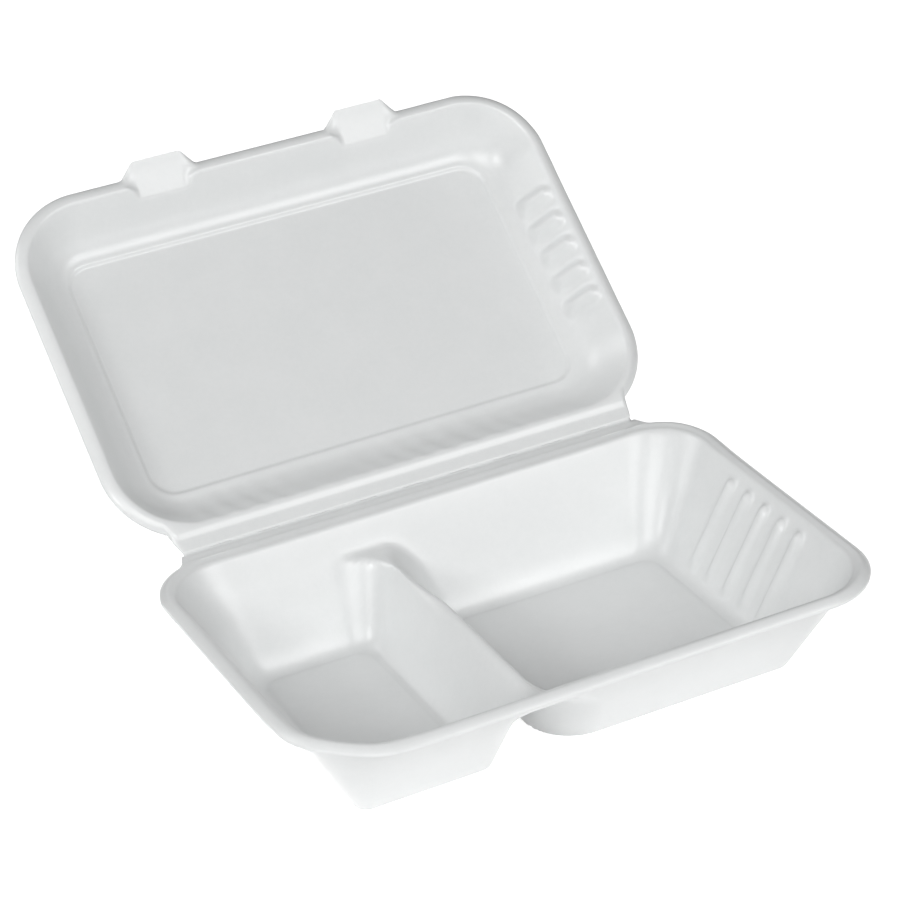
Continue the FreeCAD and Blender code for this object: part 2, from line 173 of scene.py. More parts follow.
class SheetSizes(bpy.types.PropertyGroup):
    """Sizes that both halves share."""

    wall: length("Wall", "Thickness of the moulded sheet", 1.0)
    rim_width: length("Rim", "From the outer edge of a rim to the top of its wall", 5.5)
    lip_run: length("Lip width", "Width of the sloping outer part of a rim", 3.6)
    lip_drop: length("Lip drop", "How far that part slopes away from the other half", 2.2)
    crest_round: length("Crest softness", "Softness between a rim's crest and its wall", 1.0)
    crease_round: length("Crease softness", "Softness between a rim's crest and its lip", 0.3)
    foot_round: length("Foot softness", "Softness of the outer edge round a foot", 1.8)
    edge_round: length("Edge rounding", "Rounding of the sheet's cut edge", 0.22)
    cell: length("Mesh cell", "Size of a cell of the moulded sheets", 1.15)
    strip_half: length("Strip", "Half the length of the hinge strip", 104.5)
    strip_flare: length("Strip flare", "Flare of the strip's ends at the rims", 3.0)
    strip_drop: length("Strip drop", "From the top of a rim to the hinge strip", 0.8)
    valley_drop: length("Valley", "From the tray's hinge strip to the fold", 0.7)
    fold_gap: length("Fold gap", "From each half to the fold line and the closing plane", 0.15)
    slit_length: length("Slit", "Length of one perforation", 9.8)
    slit_pitch: length("Slit pitch", "From perforation to perforation", 21.6)
    slit_count: IntProperty(name="Slits", description="Perforations", default=9, min=1)
    rib_pitch: length("Rib pitch", "From rib to rib", 12.8)
    rib_height: length("Rib height", "How far a rib stands out of the wall", 2.2)
    rib_count: IntProperty(name="Ribs", description="Ribs on each right end wall", default=5, min=1)


class TraySizes(bpy.types.PropertyGroup):
    """Sizes of the base with its two compartments."""

    length_over: FloatProperty(
        name="Length", description="Over the rim, along the fold line",
        default=2 * TRAY_HIGH.x, unit="LENGTH")
    width_over: length("Width", "Over the rim, across the fold line", 166.5)
    height: length("Height", "From the table to the top of the rim", 45.5)
    corner: length("Corners", "Corners of the rim, in plan", 32.0)
    foot_corner: length("Foot corners", "Back corners of the compartments at the floor", 11.5)
    tight_corner: length("Tight corners", "Front corners at both ends and by the divider", 4.5)
    wide_corner: length("Wide corner", "Large compartment's front corner by the divider", 20.0)
    floor_half: length("Floor", "From the middle to the foot of the front wall", 52.0)
    small_end: length("Small end", "From the middle to the foot of the left end wall", 95.5)
    small_divide: length("Small divide", "From the middle to the divider's foot, small side", 40.0)
    large_divide: length("Large divide", "From the middle to the divider's foot, large side", 14.5)
    large_end: length("Large end", "From the middle to the foot of the right end wall", 92.5)
    divider_height: length("Divider", "From the table to the top of the divider", 33.0)
    divider_small_edge: length("Divider edge, small side", "From the middle to that edge", 28.0)
    divider_large_edge: length("Divider edge, large side", "From the middle to that edge", 21.5)
    floor_round: length("Floor softness", "Softness between the walls and the floors", 7.5)
    back_ledge: length("Back ledge", "Ledge between the back rim's crest and its wall", 2.2)
    end_ledge: length("End ledge", "The same ledge at the right end", 1.3)
    rim_fall: length("Rim fall", "How far a rim's top falls from its crest to its wall", 0.7)
    collar: length("Collar", "How far the right wall steps out over the ribs", 0.5)
    crisp: length("Crisp edge", "Softness of the divider's small-side edge, at the back", 1.3)
    smooth: length("Smooth edge", "Softness of the divider's edges along its middle", 12.0)
    saddle_round: length("Saddle", "Softness of its large-side edge, at the back", 30.0)
    panel_inset: length("Panel inset", "From the foot of a wall to the raised floor panel", 4.6)
    panel_step: length("Panel step", "Height of the raised floor panel", 0.22)
    rib_width: length("Rib width", "Across a rib", 8.6)


class LidSizes(bpy.types.PropertyGroup):
    """Sizes of the lid."""

    inset: length("Inset", "How much smaller the lid is than the tray, on each side", 2.0)
    corner: length("Corners", "Corners of the rim, in plan", 36.0)
    near: length("Gap", "From the fold line to the rim's edge", 4.75)
    depth: length("Depth", "From the rim to the flat band round the panel", 19.0)
    slope_run: length("Wall run", "Width of the sloping wall in plan", 13.5)
    wall_round: length("Wall softness", "Softness between the wall and the flat band", 8.0)
    band_end: length("End band", "Flat band between the wall and the panel, at both ends", 6.0)
    band_near: length("Near band", "The same band at the fold line", 8.25)
    band_far: length("Far band", "The same band at the lid's front", 6.85)
    panel_corner: length("Panel corners", "Corners of the top panel, in plan", 11.0)
    panel_step: length("Panel step", "Height of the step round the top panel", 1.1)
    rib_width: length("Rib width", "Across a rib", 12.0)
    tab_place: length("Tab place", "From the middle to each tab", 47.5)
    tab_root: length("Tab root", "Width of a tab where it leaves the rim", 34.0)
    tab_tip: length("Tab tip", "Width of a tab at its tip", 22.0)
    tab_bend: length("Tab bend", "From the rim's outer edge to a tab's bend", 0.75)
    tab_reach: length("Tab reach", "From a tab's bend to its tip, in plan", 4.6)
    channel_reach: length("Channel", "How far a tab's channel runs into the wall, in plan", 3.6)
    channel_depth: length("Channel depth", "Depth of that channel where it meets the wall", 5.1)


class Finish(bpy.types.PropertyGroup):
    """Colours and finish of the pressed pulp sheet and of the stage."""

    light: FloatVectorProperty(
        name="Sheet, light", description="Lighter tone of the sheet", subtype="COLOR",
        default=(0.80, 0.812, 0.812), min=0.0, max=1.0)
    dark: FloatVectorProperty(
        name="Sheet, dark", description="Darker tone of the sheet", subtype="COLOR",
        default=(0.775, 0.79, 0.79), min=0.0, max=1.0)
    floor: FloatVectorProperty(
        name="Floor", description="Colour of the floor", subtype="COLOR",
        default=(0.9, 0.9, 0.9), min=0.0, max=1.0)
    roughness: FloatProperty(
        name="Roughness", description="Roughness of the sheet", default=0.36, min=0.0, max=1.0,
        subtype="FACTOR")


def settings(context):
    scene = context.scene
    return scene.sheet_sizes, scene.tray_sizes, scene.lid_sizes, scene.clamshell_finish


# Soft joints between heights.

def soft_max(a, b, softness):
    reach = np.maximum(softness - np.abs(a - b), 0.0) / softness
    return np.maximum(a, b) + reach * reach * softness / 4


def soft_min(a, b, softness):
    return -soft_max(-a, -b, softness)


def ramp(value, start, end):
    """0 before start, 1 after end, smooth in between."""
    t = np.clip((value - start) / (end - start), 0.0, 1.0)
    return t * t * (3 - 2 * t)


def outline_distance(x, y, left, right, half, corner):
    """Distance to a rectangle with round corners, negative inside it."""
    over_x = np.abs(x - (left + right) / 2) - ((right - left) / 2 - corner)
    over_y = np.abs(y) - (half - corner)
    outside = np.hypot(np.maximum(over_x, 0.0), np.maximum(over_y, 0.0))
    return outside + np.minimum(np.maximum(over_x, over_y), 0.0) - corner


def hollow_height(x, y, outline, low, high):
    """The height at which a hollow's outline, a function of height, passes through each point."""
    low = np.full_like(x, low)
    high = np.full_like(x, high)
    for _ in range(HALVINGS):
        middle = (low + high) / 2
        inside = outline_distance(x, y, *outline(middle)) < 0
        high = np.where(inside, middle, high)
        low = np.where(inside, low, middle)
    return (low + high) / 2


def lip_height(inward, sheet):
    """Height of a rim over its crest: 0 on the crest and down along the lip."""
    share = 1 - inward / sheet.lip_run
    lip = -sheet.lip_drop * (0.6 * share + 0.4 * share * share * np.abs(share))
    return soft_min(lip, 0.0 * inward, sheet.crease_round)


def rib_wave(across, sheet, width):
    """1 along the middle of a rib and 0 between the ribs."""
    half = (sheet.rib_count - 1) / 2
    nearest = np.clip(np.round(across / sheet.rib_pitch), -half, half) * sheet.rib_pitch
    off = np.clip(np.abs(across - nearest) / (width / 2), 0.0, 1.0)
    return 0.5 + 0.5 * np.cos(math.pi * off)


def rib_ends(height, foot, head):
    """1 along a rib and 0 beyond its foot and its head, each given as two heights."""
    return ramp(height, *foot) * ramp(-height, -head[1], -head[0])


class Hollow:
    """Outline of one tray compartment by height over its floor, grown by the sheet's skin."""

    def __init__(self, tray, sheet, skin, left, right, left_top, right_top, left_rise, right_rise,
                 corner):
        rise = tray.height - sheet.wall
        self.skin = skin
        self.left, self.right = left, right
        self.left_slope = (left_top - left) / left_rise
        self.right_slope = (right_top - right) / right_rise
        self.half = tray.floor_half
        self.half_slope = (tray.width_over / 2 - sheet.rim_width - tray.floor_half) / rise
        self.corner = corner
        self.corner_slope = (tray.corner - sheet.rim_width - corner) / rise

    def __call__(self, height):
        grow = self.skin * WALL_SECANT
        return (self.left + self.left_slope * height - grow,
                self.right + self.right_slope * height + grow,
                self.half + self.half_slope * height + grow,
                self.corner + self.corner_slope * height + grow)


def tray_height(x, y, inward, sheet, tray, skin):
    """Height of the tray's upper face at each point of the plan, or of its lower face with a skin."""
    rise = tray.height - sheet.wall
    step = tray.divider_height - sheet.wall
    end = tray.length_over / 2 - sheet.rim_width
    front = y < 0
    small_corner = np.where(front, tray.tight_corner, tray.foot_corner)
    by_divider = x < (tray.large_end - tray.large_divide) / 2
    large_corner = np.where(
        by_divider, np.where(front, tray.wide_corner, tray.foot_corner),
        np.where(front, tray.tight_corner, tray.foot_corner))
    small = Hollow(tray, sheet, skin, -tray.small_end, -tray.small_divide, -end,
                   -tray.divider_small_edge, rise, step, small_corner)
    large = Hollow(tray, sheet, skin, -tray.large_divide, tray.large_end,
                   -tray.divider_large_edge, end, step, rise, large_corner)
    whole = Hollow(tray, sheet, skin, -tray.small_end, tray.large_end, -end, end, rise, rise,
                   small_corner)
    low, high = LOW_SEARCH, HIGH_SEARCH
    y = y + tray.back_ledge * ramp(y, *BACK_LEDGE_SPAN)
    x = x + tray.end_ledge * ramp(x, *END_LEDGE_SPAN)
    left_wall = hollow_height(x, y, small, low, high)
    first = hollow_height(x, y, large, low, high)
    ends = rib_ends(first, TRAY_RIB_FOOT, TRAY_RIB_HEAD)
    right_side = ramp(x, *END_WALL_SPAN)
    push = sheet.rib_height * rib_wave(y, sheet, tray.rib_width) * ends
    level = 1 - ramp(np.abs(y), *COLLAR_ENDS)
    push = push - tray.collar * ramp(first, *COLLAR_RISE) * level
    right_wall = hollow_height(x + push * right_side, y, large, low, high)
    both = hollow_height(x + push * right_side, y, whole, low, high)
    at_back = ramp(y, *CRISP_SPAN)
    small_side = tray.smooth + (tray.crisp - tray.smooth) * at_back
    large_side = tray.smooth + (tray.saddle_round - tray.smooth) * at_back
    bridge = soft_min(left_wall, 0 * x + step - skin, small_side)
    bridge = soft_min(bridge, right_wall, large_side)
    by_saddle = 1 - ramp(np.abs(x - SADDLE_MIDDLE), *SADDLE_SPAN)
    cavity = soft_max(bridge, both, WALL_SOFTNESS + SADDLE_SOFTNESS * by_saddle)
    floor = 0 * x - skin
    if not skin:
        for box in (small, large):
            left, right, half, _ = box(0.0)
            inset = tray.panel_inset
            line = outline_distance(x, y, left + inset, right - inset, half - inset,
                                    tray.foot_corner - inset)
            floor = floor + tray.panel_step * ramp(-line, -FLOOR_STEP, FLOOR_STEP)
    softness = sheet.foot_round if skin else tray.floor_round
    cavity = soft_max(cavity, floor, softness) + sheet.wall
    rim = tray.height + lip_height(inward, sheet) - skin * LIP_SECANT
    rim = rim - tray.rim_fall * ramp(inward, sheet.lip_run - 0.6 * MM, sheet.rim_width + 1.2 * MM)
    return soft_min(cavity, rim, sheet.crest_round)


def lid_height(x, v, inward, sheet, lid, tray, skin):
    """Depth of the lid's inner face over the closing plane, or of its outer face with a skin.

    v runs from the fold line."""
    half_x = tray.length_over / 2 - lid.inset
    width = tray.width_over - 2 * lid.inset
    middle = lid.near + width / 2
    slope = lid.slope_run / lid.depth
    rim_edge = sheet.rim_width

    def outline(height):
        shrink = rim_edge + slope * height
        return (-half_x + shrink, half_x - shrink, width / 2 - shrink, lid.corner - shrink)

    def wall_depth(px):
        distance = outline_distance(px, v - middle, *outline(0.0)) - skin * WALL_SECANT
        return -distance / slope

    first = wall_depth(x)
    ends = rib_ends(first, LID_RIB_FOOT, LID_RIB_HEAD)
    push = LID_RIB_SHARE * sheet.rib_height * rib_wave(v - middle, sheet, lid.rib_width) * ends
    wall = wall_depth(x + push * ramp(x, *LID_RIB_SPAN))
    near_side = (1 - ramp(v, *RIPPLE_REACH)) * (1 - ramp(np.abs(x), *RIPPLE_ENDS))
    fine, drift, swell = RIPPLE_TURNS
    ripple = np.sin(x * fine + 0.8 * np.sin(x * drift)) * (0.6 + 0.4 * np.sin(x * swell))
    wall = wall + RIPPLE_HEIGHT * ripple * near_side
    wall_run = rim_edge + lid.slope_run
    near = lid.near + wall_run + lid.band_near
    far = lid.near + width - wall_run - lid.band_far
    end = half_x - wall_run - lid.band_end
    line = outline_distance(x, v - (near + far) / 2, -end, end, (far - near) / 2, lid.panel_corner)
    top = skin + lid.depth + lid.panel_step * ramp(-line, -PANEL_STEP, PANEL_STEP)
    rise = soft_min(wall, top, lid.wall_round)
    lip = skin * LIP_SECANT - lip_height(inward, sheet)
    return sheet.fold_gap + soft_max(rise, lip, sheet.crest_round)


# The plan mesh: a grid edged with rings that follow the rim.


def edge_point(along, side, half_x, half_y, corner, inset):
    """Foot on the outer edge and outward direction, for a place from -1 to 1 along a side.

    Side is 0 at the front, 1 at the right, 2 at the back and 3 at the left."""
    half = half_y if side % 2 else half_x
    straight = half - corner
    arc = (corner - inset) * math.pi / 4
    run = along * (straight + arc)
    turn = np.clip((np.abs(run) - straight) / (corner - inset), 0.0, None) * np.sign(run)
    flat = np.clip(run, -straight, straight)
    other = (half_x if side % 2 else half_y) - corner
    across = np.sin(turn)
    out = np.cos(turn)
    place = (flat + corner * across, other + corner * out)
    if side == 0:
        return place[0], -place[1], across, -out
    if side == 1:
        return place[1], place[0], out, across
    if side == 2:
        return place[0], place[1], across, out
    return -place[1], place[0], -out, across


def patch(s, t, half_x, half_y, corner, inset):
    """Point of the grid inside the innermost ring, for s and t from -1 to 1."""
    def ring_point(along, side):
        fx, fy, nx, ny = edge_point(along, side, half_x, half_y, corner, inset)
        return np.array((fx - inset * nx, fy - inset * ny))

    a, b = (s + 1) / 2, (t + 1) / 2
    front, back = ring_point(s, 0), ring_point(s, 2)
    left, right = ring_point(t, 3), ring_point(t, 1)
    one = np.ones_like(s)
    corners = [ring_point(sign * one, side) for sign, side in ((-1, 0), (1, 0), (-1, 2), (1, 2))]
    mixed = ((1 - a) * (1 - b) * corners[0] + a * (1 - b) * corners[1]
             + (1 - a) * b * corners[2] + a * b * corners[3])
    return (1 - b) * front + b * back + (1 - a) * left + a * right - mixed


def crowd(share, half, marks):
    """Moves grid lines, from -1 to 1, closer together near the marks."""
    place = np.linspace(-half, half, 2001)
    density = 1.0 + sum(
        LINE_CROWD * np.exp(-((place - mark * MM) / LINE_SPREAD) ** 2) for mark in marks)
    total = np.cumsum(density)
    total = (total - total[0]) / (total[-1] - total[0])
    return np.interp((share + 1) / 2, total, place) / half


def plan_mesh(half_x, half_y, corner, cell, marks_x, marks_y):
    """A bmesh of the plan, with each vertex's distance inward from the outer edge in a layer."""
    bm = bmesh.new()
    inset = GRID_INSET
    cells_x = round(2 * (half_x - inset) / cell)
    cells_y = round(2 * (half_y - inset) / cell)
    bmesh.ops.create_grid(bm, x_segments=cells_x, y_segments=cells_y, size=1.0)
    foot = bm.verts.layers.float_vector.new("foot")
    out = bm.verts.layers.float_vector.new("out")
    inward = bm.verts.layers.float.new("inward")
    st = np.array([v.co[:2] for v in bm.verts])
    st[:, 0] = crowd(st[:, 0], half_x - inset, marks_x)
    st[:, 1] = crowd(st[:, 1], half_y - inset, marks_y)
    xy = patch(st[:, 0], st[:, 1], half_x, half_y, corner, inset)
    for vert, (s, t), x, y in zip(bm.verts, st, *xy):
        if vert.is_boundary:
            side, along = (1 if s > 0 else 3, t) if abs(s) > 0.9999 else (0 if t < 0 else 2, s)
            fx, fy, nx, ny = edge_point(
                np.array([along]), side, half_x, half_y, corner, inset)
            vert[foot] = (fx[0], fy[0], 0)
            vert[out] = (nx[0], ny[0], 0)
        vert[inward] = inset
        vert.co = (x, y, 0)
    rim = [edge for edge in bm.edges if edge.is_boundary]
    for ring in RINGS:
        made = bmesh.ops.extrude_edge_only(bm, edges=rim)["geom"]
        for vert in (item for item in made if isinstance(item, bmesh.types.BMVert)):
            vert.co = vert[foot] - vert[out] * ring * MM
            vert[inward] = ring * MM
        rim = [item for item in made if isinstance(item, bmesh.types.BMEdge) and item.is_boundary]
    bm.normal_update()
    turned = [face for face in bm.faces if face.normal.z < 0]
    bmesh.ops.reverse_faces(bm, faces=turned)
    return bm


def strip_share(x, sheet):
    """1 along the hinge strip and 0 beyond its flared ends."""
    return 1 - ramp(np.abs(x), sheet.strip_half - sheet.strip_flare / 2,
                    sheet.strip_half + sheet.strip_flare / 2)


def strip_path(lip, sheet, reach, valley):
    """Place and drop along the strip for a lip share from 0 at the crest to 1 at the fold."""
    run = lip * reach
    drop = sheet.strip_drop * ramp(run, 0.0, 3.0 * MM)
    return run, drop + valley * ramp(run, reach - 4.5 * MM, reach + 2.0 * MM) / 0.78


def pull_corners(x, y, half_x, half_y, corner, pulls):
    """Shifts the rim near its corners outward by the pulls, front left first, in turn.

    The feet stay where they are."""
    depth = -outline_distance(x, y, -half_x, half_x, half_y, corner)
    middle = corner * (1 - math.sqrt(0.5))
    reach = corner / 2
    signs = ((-1, -1), (1, -1), (1, 1), (-1, 1))
    shift_x, shift_y = 0 * x, 0 * y
    for (side_x, side_y), pull in zip(signs, pulls):
        away_x = half_x - side_x * x - middle
        away_y = half_y - side_y * y - middle
        near = np.exp(-(away_x * away_x + away_y * away_y) / (2 * reach * reach))
        shift = pull * near * (1 - ramp(depth, *PULL_DEPTH))
        shift_x = shift_x + side_x * shift
        shift_y = shift_y + side_y * shift
    return np.clip(x + shift_x, -half_x, half_x), np.clip(y + shift_y, -half_y, half_y)


def double_sheet(bm):
    """Adds the other face of the sheet; returns the vertices of both faces, in the same order."""
    first = list(bm.verts)
    made = bmesh.ops.duplicate(bm, geom=bm.verts[:] + bm.edges[:] + bm.faces[:])
    second = [made["vert_map"][vert] for vert in first]
    bmesh.ops.reverse_faces(
        bm, faces=[item for item in made["geom"] if isinstance(item, bmesh.types.BMFace)])
    return first, second


def close_sheet(bm):
    """Joins the two faces along the cut edge."""
    bmesh.ops.bridge_loops(bm, edges=[edge for edge in bm.edges if edge.is_boundary])
    bmesh.ops.recalc_face_normals(bm, faces=bm.faces[:])


def finish_sheet(bm, name, sheet, material):
    """Turns a bmesh into a smooth piece with a slightly rounded cut edge."""
    mesh = bpy.data.meshes.new(name)
    bm.normal_update()
    bm.to_mesh(mesh)
    bm.free()
    for polygon in mesh.polygons:
        polygon.use_smooth = True
    piece = bpy.data.objects.new(name, mesh)
    bpy.context.scene.collection.objects.link(piece)
    mesh.materials.append(material)
    soft = piece.modifiers.new("Cut edge", "BEVEL")
    soft.width = sheet.edge_round
    soft.segments = 2
    soft.limit_method = "ANGLE"
    soft.angle_limit = math.radians(50)
    return piece


class Nodes:
    """Short calls for adding and linking shader nodes."""

    def __init__(self, name):
        self.material = bpy.data.materials.new(name)
        self.material.use_nodes = True
        self.tree = self.material.node_tree
        self.shader = self.tree.nodes["Principled BSDF"]

    def add(self, kind, inputs=(), **values):
        node = self.tree.nodes.new(kind)
        for key, value in values.items():
            setattr(node, key, value)
        for key, value in dict(inputs).items():
            if isinstance(value, bpy.types.NodeSocket):
                self.tree.links.new(value, node.inputs[key])
            else:
                node.inputs[key].default_value = value
        return node

    def link(self, output, target):
        self.tree.links.new(output, target)


def pulp_material(finish):
    """Pressed pulp: cloudy white, fine fibres, faint draw marks and a dull sheen."""
    name = "pressed_pulp"
    if name in bpy.data.materials:
        return bpy.data.materials[name]
    nodes = Nodes(name)
    place = nodes.add("ShaderNodeTexCoord").outputs["Object"]
    clouds = nodes.add("ShaderNodeTexNoise", {"Vector": place, "Scale": 55.0, "Detail": 4.0,
                                              "Roughness": 0.6})
    flecks = nodes.add("ShaderNodeTexNoise", {"Vector": place, "Scale": 420.0, "Detail": 5.0,
                                              "Roughness": 0.7})
    mixed = nodes.add("ShaderNodeMath", {0: clouds.outputs["Fac"], 1: flecks.outputs["Fac"]},
                      operation="ADD")
    tone = nodes.add("ShaderNodeMapRange", {"Value": mixed.outputs[0], "From Min": 0.75,
                                            "From Max": 1.25})
    colour = nodes.add("ShaderNodeMix", {"Factor": tone.outputs[0]}, data_type="RGBA")
    colour.inputs[6].default_value = (*finish.dark, 1)
    colour.inputs[7].default_value = (*finish.light, 1)
    nodes.link(colour.outputs[2], nodes.shader.inputs["Base Color"])
    stretched = nodes.add("ShaderNodeMapping", {"Vector": place, "Scale": (1.0, 1.0, 0.06)})
    draw = nodes.add("ShaderNodeTexNoise", {"Vector": stretched.outputs[0], "Scale": 520.0,
                                            "Detail": 3.0, "Roughness": 0.55})
    fibres = nodes.add("ShaderNodeTexNoise", {"Vector": place, "Scale": 1500.0, "Detail": 4.0,
                                              "Roughness": 0.65})
    waves = nodes.add("ShaderNodeTexNoise", {"Vector": place, "Scale": 38.0, "Detail": 2.0})
    first = nodes.add("ShaderNodeBump", {"Height": waves.outputs["Fac"], "Strength": 0.25,
                                         "Distance": 0.0012})
    second = nodes.add("ShaderNodeBump", {"Height": draw.outputs["Fac"], "Strength": 0.16,
                                          "Distance": 0.00016, "Normal": first.outputs[0]})
    third = nodes.add("ShaderNodeBump", {"Height": fibres.outputs["Fac"], "Strength": 0.3,
                                         "Distance": 0.00012, "Normal": second.outputs[0]})
    nodes.link(third.outputs[0], nodes.shader.inputs["Normal"])
    rough = nodes.add("ShaderNodeMapRange", {
        "Value": flecks.outputs["Fac"], "From Min": 0.3, "From Max": 0.7,
        "To Min": finish.roughness - 0.03, "To Max": finish.roughness + 0.08})
    nodes.link(rough.outputs[0], nodes.shader.inputs["Roughness"])
    nodes.shader.inputs["Specular IOR Level"].default_value = 0.65
    nodes.shader.inputs["Coat Weight"].default_value = 0.5
    nodes.shader.inputs["Coat Roughness"].default_value = 0.25
    return nodes.material


class CLAM_OT_tray(bpy.types.Operator):
    """Makes the tray's sheet with its two compartments, ribs and half of the hinge strip"""

    bl_idname = "clamshell.tray"
    bl_label = "Tray"

    def execute(self, context):
        sheet, tray, lid, finish = settings(context)
        half_x, half_y = tray.length_over / 2, tray.width_over / 2
        bm = plan_mesh(half_x, half_y, tray.corner, sheet.cell, TRAY_LINES_X, TRAY_LINES_Y)
        layer = bm.verts.layers.float["inward"]
        faces = double_sheet(bm)
        x = np.array([v.co.x for v in faces[0]])
        y = np.array([v.co.y for v in faces[0]])
        inward = np.array([v[layer] for v in faces[0]])
        lip = np.clip(1 - inward / sheet.lip_run, 0.0, 1.0)
        crest = half_y - sheet.lip_run
        run, drop = strip_path(lip, sheet, FOLD_LINE.y - sheet.fold_gap - crest, sheet.valley_drop)
        share = strip_share(x, sheet) * (y > half_y / 2) * (inward <= sheet.lip_run)
        moved_x, moved_y = pull_corners(x, y, half_x, half_y, tray.corner, TRAY_PULLS)
        moved_y = moved_y + share * (crest + run - moved_y)
        for verts, skin in zip(faces, (0.0, sheet.wall)):
            z = tray_height(x, y, inward, sheet, tray, skin)
            z = z + share * (tray.height - drop - skin - z)
            for vert, *place in zip(verts, moved_x, moved_y, z):
                vert.co = place
        close_sheet(bm)
        piece = finish_sheet(bm, "tray_sheet", sheet, pulp_material(finish))
        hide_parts("tray")
        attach(piece, "tray")
        return {"FINISHED"}


class CLAM_OT_lid(bpy.types.Operator):
    """Makes the lid's sheet with its top panel, ribs, closing tabs and half of the hinge strip"""

    bl_idname = "clamshell.lid"
    bl_label = "Lid"

    def execute(self, context):
        sheet, tray, lid, finish = settings(context)
        half_x = tray.length_over / 2 - lid.inset
        half_y = tray.width_over / 2 - lid.inset
        bm = plan_mesh(half_x, half_y, lid.corner, sheet.cell, LID_LINES_X, LID_LINES_Y)
        layer = bm.verts.layers.float["inward"]
        faces = double_sheet(bm)
        x = np.array([v.co.x for v in faces[0]])
        y = np.array([v.co.y for v in faces[0]])
        inward = np.array([v[layer] for v in faces[0]])
        v = y + lid.near + half_y
        lip = np.clip(1 - inward / sheet.lip_run, 0.0, 1.0)
        on_lip = inward <= sheet.lip_run
        crest = lid.near + sheet.lip_run
        run, drop = strip_path(lip, sheet, crest - sheet.fold_gap, 0.0)
        share = strip_share(x, sheet) * (y < -half_y / 2) * on_lip
        moved_x, moved_y = pull_corners(x, y, half_x, half_y, lid.corner, LID_PULLS)
        moved_v = moved_y + lid.near + half_y
        moved_v = moved_v + share * (crest - run - moved_v)
        tab_v, tab_share, tab_depth = self.tabs(x, v, lip, on_lip, sheet, tray, lid)
        for verts, skin in zip(faces, (0.0, sheet.wall)):
            d = lid_height(x, v, inward, sheet, lid, tray, skin)
            d = d + share * (sheet.fold_gap + drop + skin - d)
            deeper = np.where(on_lip, tab_depth + skin, np.maximum(d, tab_depth + skin))
            d = d + tab_share * (deeper - d)
            lip_v = moved_v + tab_share * on_lip * (tab_v - moved_v)
            for vert, *place in zip(verts, moved_x, -lip_v, d):
                vert.co = place
        bmesh.ops.transform(bm, matrix=lid_place(), verts=bm.verts)
        close_sheet(bm)
        piece = finish_sheet(bm, "lid_sheet", sheet, pulp_material(finish))
        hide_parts("lid")
        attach(piece, "lid")
        return {"FINISHED"}

    def tabs(self, x, v, lip, on_lip, sheet, tray, lid):
        """Place, share and depth of the two tabs and of the shallow channels that lead to them."""
        far = lid.near + tray.width_over - 2 * lid.inset
        crest = far - sheet.lip_run
        bend = far + lid.tab_bend
        place = np.where(on_lip, crest + lip * (bend + lid.tab_reach - crest), v)
        fall = sheet.lip_drop / sheet.lip_run
        bent = soft_max(place - bend, 0 * place, TAB_SOFTNESS) * fall * TAB_FALL_SHARE
        start = far - sheet.rim_width - lid.channel_reach
        rise = np.maximum(bend - place, 0.0) * lid.channel_depth / (bend - start)
        depth = sheet.fold_gap - bent + rise
        side = np.abs(np.abs(x) - lid.tab_place)
        flank = (lid.tab_root - lid.tab_tip) / 2 * np.clip((place - start) / (crest - start), 0.04, 1)
        share = 1 - np.clip((side - lid.tab_tip / 2) / flank, 0, 1)
        return place, share * (v > start), depth


def lid_place():
    """From the closed lid's own frame to the rest pose."""
    rest_angle = -math.radians(REST_ANGLE)
    return Matrix.Translation(FOLD_LINE) @ Matrix.Rotation(rest_angle, 4, "X")


class CLAM_OT_fold(bpy.types.Operator):
    """Makes the narrow folded ribbon that joins the two halves between the perforations"""

    bl_idname = "clamshell.fold"
    bl_label = "Fold"

    def execute(self, context):
        sheet, tray, lid, finish = settings(context)
        overlap = RIBBON_OVERLAP
        place = lid_place()
        low = tray.height - sheet.strip_drop - sheet.valley_drop
        first = Vector((0, FOLD_LINE.y - sheet.fold_gap, low))
        start = first + Vector((0, -overlap, 0.25 * MM))
        depth = sheet.fold_gap + sheet.strip_drop
        last = place @ Vector((0, -sheet.fold_gap, depth))
        end = place @ Vector((0, -sheet.fold_gap - overlap, depth))
        bm = bmesh.new()
        columns = round(2 * sheet.strip_half / RIBBON_CELL)
        bmesh.ops.create_grid(bm, x_segments=columns, y_segments=RIBBON_ROWS, size=1.0)
        for vert in bm.verts:
            vert.co.x *= sheet.strip_half - 1.5 * MM
        self.open_slits(bm, sheet)
        sink = Vector((0, 0.02 * MM, -0.06 * MM))
        a = first + (first - start) * 0.3
        b = last + (last - end) * 0.3
        for vert in bm.verts:
            t = (vert.co.y + 1) / 2
            point = (start * (1 - t) ** 3 + a * 3 * t * (1 - t) ** 2
                     + b * 3 * t * t * (1 - t) + end * t ** 3)
            vert.co = point + sink + Vector((vert.co.x, 0, 0))
        piece = finish_sheet(bm, "fold_ribbon", sheet, pulp_material(finish))
        thick = piece.modifiers.new("Thickness", "SOLIDIFY")
        thick.thickness = sheet.wall * RIBBON_THICKNESS
        thick.offset = -1.0
        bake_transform(piece, "tray", "lid", start=tuple(first - Vector((0, 0.1 * MM, 0))),
                 end=tuple(last + (end - last) * 0.15))
        return {"FINISHED"}

    def open_slits(self, bm, sheet):
        """Takes the perforations out of the ribbon's middle row."""
        half = (sheet.slit_count - 1) / 2
        gone = []
        for face in bm.faces:
            middle = face.calc_center_median()
            number = round(middle.x / sheet.slit_pitch)
            near = abs(middle.x - number * sheet.slit_pitch) < sheet.slit_length / 2
            if near and abs(number) <= half and abs(middle.y) < 0.1:
                gone.append(face)
        bmesh.ops.delete(bm, geom=gone, context="FACES")


